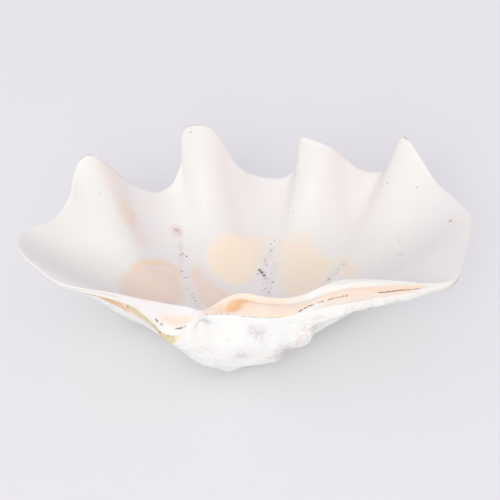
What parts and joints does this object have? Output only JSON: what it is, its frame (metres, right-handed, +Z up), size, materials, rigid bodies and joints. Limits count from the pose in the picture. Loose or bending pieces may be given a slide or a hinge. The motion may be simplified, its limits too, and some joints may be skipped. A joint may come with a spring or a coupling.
{
  "type": "giant clam shell",
  "caption": "Left valve of a giant clam, lying hollow side up: a thick chalky shell with a folded margin of pointed tongues and a broad hinge plate.",
  "frame": {"origin": "middle of the shell's box, on the surface it lies on", "axes": "+X along the shell's length towards its hinge's long rear end, +Y from the hinge towards the tongues, +Z up out of the hollow"},
  "size_m": [0.4, 0.2452, 0.128],
  "materials": {
    "shell": "satin inside, chalky outside"
  },
  "bodies": {
    "root": {"valve": "shell"}
  },
  "joints": []
}
